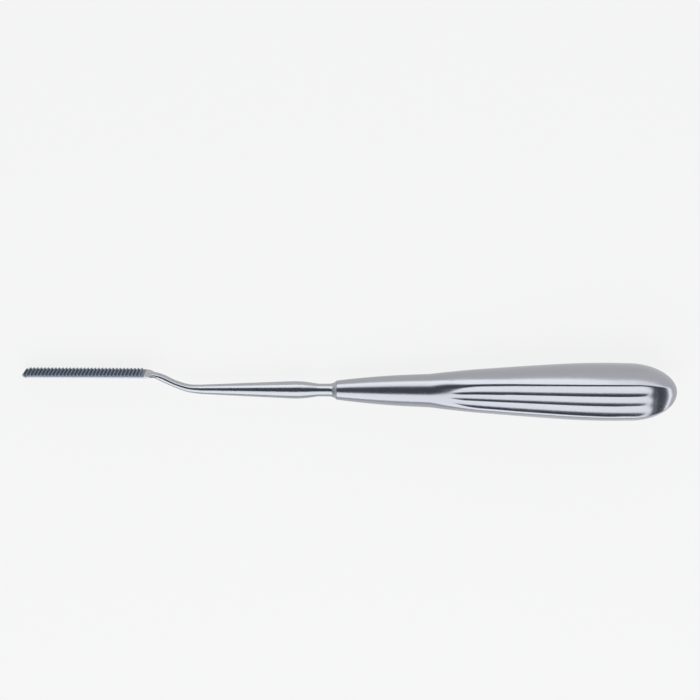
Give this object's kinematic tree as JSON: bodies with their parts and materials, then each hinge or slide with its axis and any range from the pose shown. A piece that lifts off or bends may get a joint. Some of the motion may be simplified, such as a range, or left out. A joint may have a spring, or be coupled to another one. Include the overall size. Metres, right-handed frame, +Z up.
{
  "type": "nasal rasp",
  "caption": "Hand rasp for nasal bone: a long narrow blade with a row of pull-cut teeth, a bayonet shank with a bulb and neck, and a pear-shaped handle fluted on two sides.",
  "frame": {"origin": "on the surface the instrument lies on, under the middle of its bounding box", "axes": "+X runs from the blade to the butt of the handle, +Y is the way the teeth face, +Z is up. It lies on a fluted panel of the grip and on one long edge of the blade."},
  "size_m": [0.2102, 0.018, 0.018],
  "materials": {
    "handle_steel": "satin",
    "shank_steel": "satin",
    "tooth_steel": "ground"
  },
  "bodies": {
    "root": {"handle": "handle_steel", "blade_shank": "shank_steel", "toothed_plate": "tooth_steel"}
  },
  "joints": []
}
